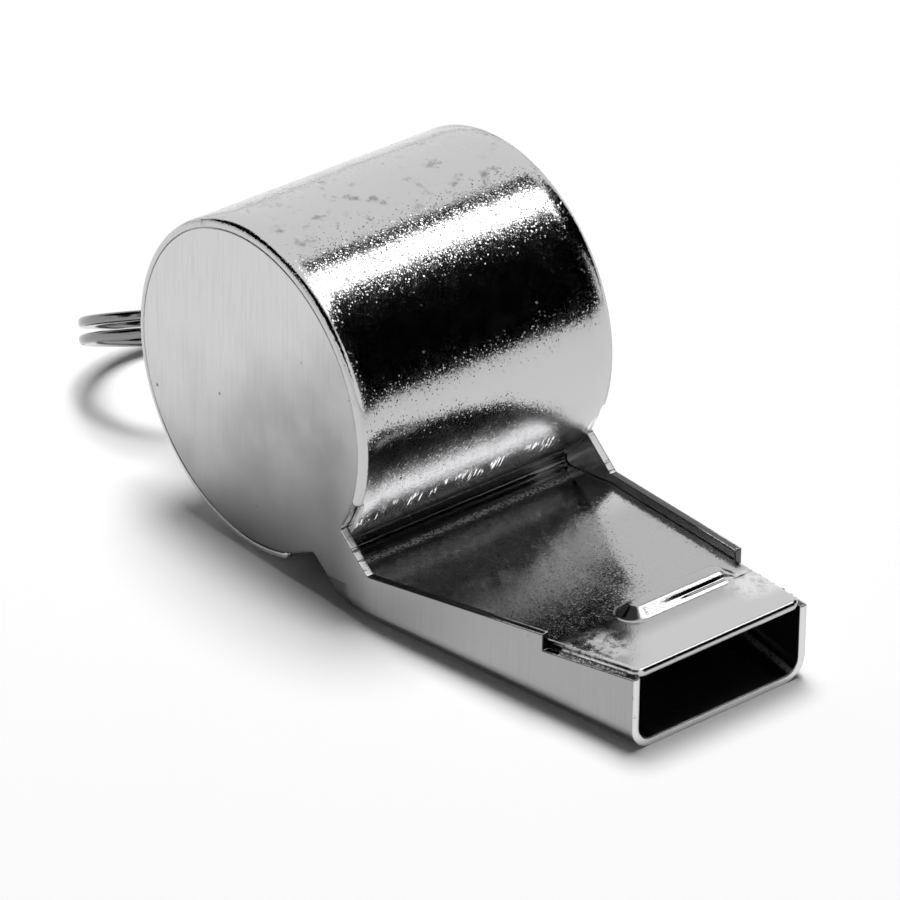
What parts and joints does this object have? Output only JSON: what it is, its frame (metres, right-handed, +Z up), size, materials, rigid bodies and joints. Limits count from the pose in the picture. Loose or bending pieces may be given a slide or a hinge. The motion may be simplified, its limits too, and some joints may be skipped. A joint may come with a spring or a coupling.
{
  "type": "sports whistle",
  "caption": "Folded sheet-metal pea whistle with a round barrel, tapering mouthpiece, pressed tooth ridge, air window, loose cork ball and split ring on a lug.",
  "frame": {"origin": "bottom middle of the whole, on the table it lies on", "axes": "+X towards the mouth, Y along the barrel's axis, +Z up from the table"},
  "size_m": [0.0574, 0.02, 0.0224],
  "materials": {
    "plated_channel": "bright nickel plate, faint grain, tiny pits",
    "plated_strip": "bright nickel plate with smudges and fine grain",
    "cork": "matt cork",
    "plated_lug": "bright nickel plate",
    "solder": "dull tin solder",
    "ring_wire": "bright plated wire"
  },
  "bodies": {
    "whistle": {"body_channel": "plated_channel", "barrel_strip": "plated_strip", "ring_lug": "plated_lug", "lug_solder": "solder", "seam_solder_left": "solder", "seam_solder_right": "solder", "plate_solder_left": "solder", "plate_solder_right": "solder", "head_solder_left": "solder", "head_solder_right": "solder"},
    "pea": {"pea": "cork"},
    "ring": {"split_ring": "ring_wire"}
  },
  "joints": [
    {"name": "pea_orbit", "type": "hinge", "parent": "whistle", "child": "pea", "pos_m": [-0.00348, 0, 0.0114], "axis": [0, 1, 0], "continuous": true},
    {"name": "ring_swing", "type": "hinge", "parent": "whistle", "child": "ring", "pos_m": [-0.01586, 0, 0.00761], "axis": [0.1337, 0.9563, -0.26], "range_deg": [-90, 100]}
  ]
}
